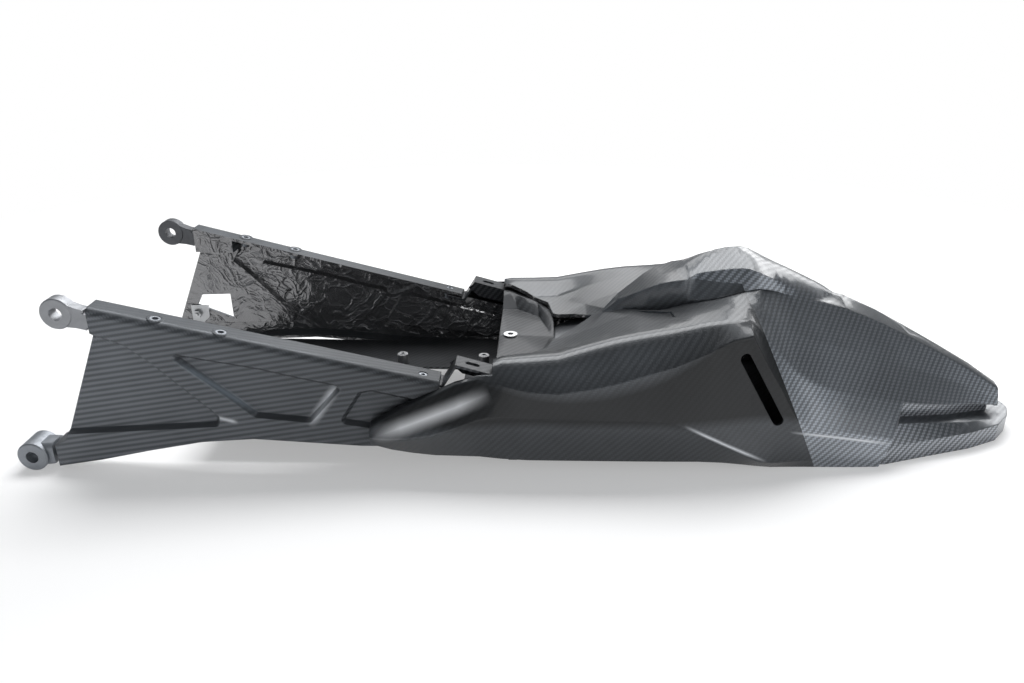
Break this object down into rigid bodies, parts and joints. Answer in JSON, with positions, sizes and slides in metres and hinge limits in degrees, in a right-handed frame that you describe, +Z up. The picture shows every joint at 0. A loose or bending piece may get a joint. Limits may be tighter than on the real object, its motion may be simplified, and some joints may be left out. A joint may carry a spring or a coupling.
{
  "type": "rear subframe",
  "caption": "Carbon fibre motorbike rear subframe: two channel section rails with metal eyes at the front, blending into a self supporting tail cowl with a humped top.",
  "frame": {"origin": "midway between the two upper bores, on their common axis", "axes": "+X points to the rear of the motorbike, +Y to its right side, +Z up. The part lies on the plane z = -137 mm"},
  "size_m": [0.8465, 0.2474, 0.1626],
  "materials": {
    "carbon_satin": "satin",
    "carbon_gloss": "gloss",
    "bare_aluminium": "satin",
    "grey_aluminium": "satin"
  },
  "bodies": {
    "root": {"right_rail": "carbon_satin", "left_rail": "carbon_satin", "right_upper_lug": "bare_aluminium", "left_upper_lug": "bare_aluminium", "right_lower_lug": "grey_aluminium", "left_lower_lug": "grey_aluminium", "flange_inserts": "grey_aluminium", "small_inserts": "grey_aluminium", "right_seat_bracket": "carbon_gloss", "left_seat_bracket": "carbon_gloss", "bracket_rivets": "bare_aluminium", "tail_cowl": "carbon_satin", "lower_tail": "carbon_gloss", "seat_shelf": "carbon_gloss", "shelf_insert": "bare_aluminium", "notch_panel": "carbon_gloss", "battery_tray": "carbon_gloss", "tray_studs": "bare_aluminium", "undertray": "carbon_gloss", "wiring_tab": "grey_aluminium", "wiring_nut": "bare_aluminium"}
  },
  "joints": []
}
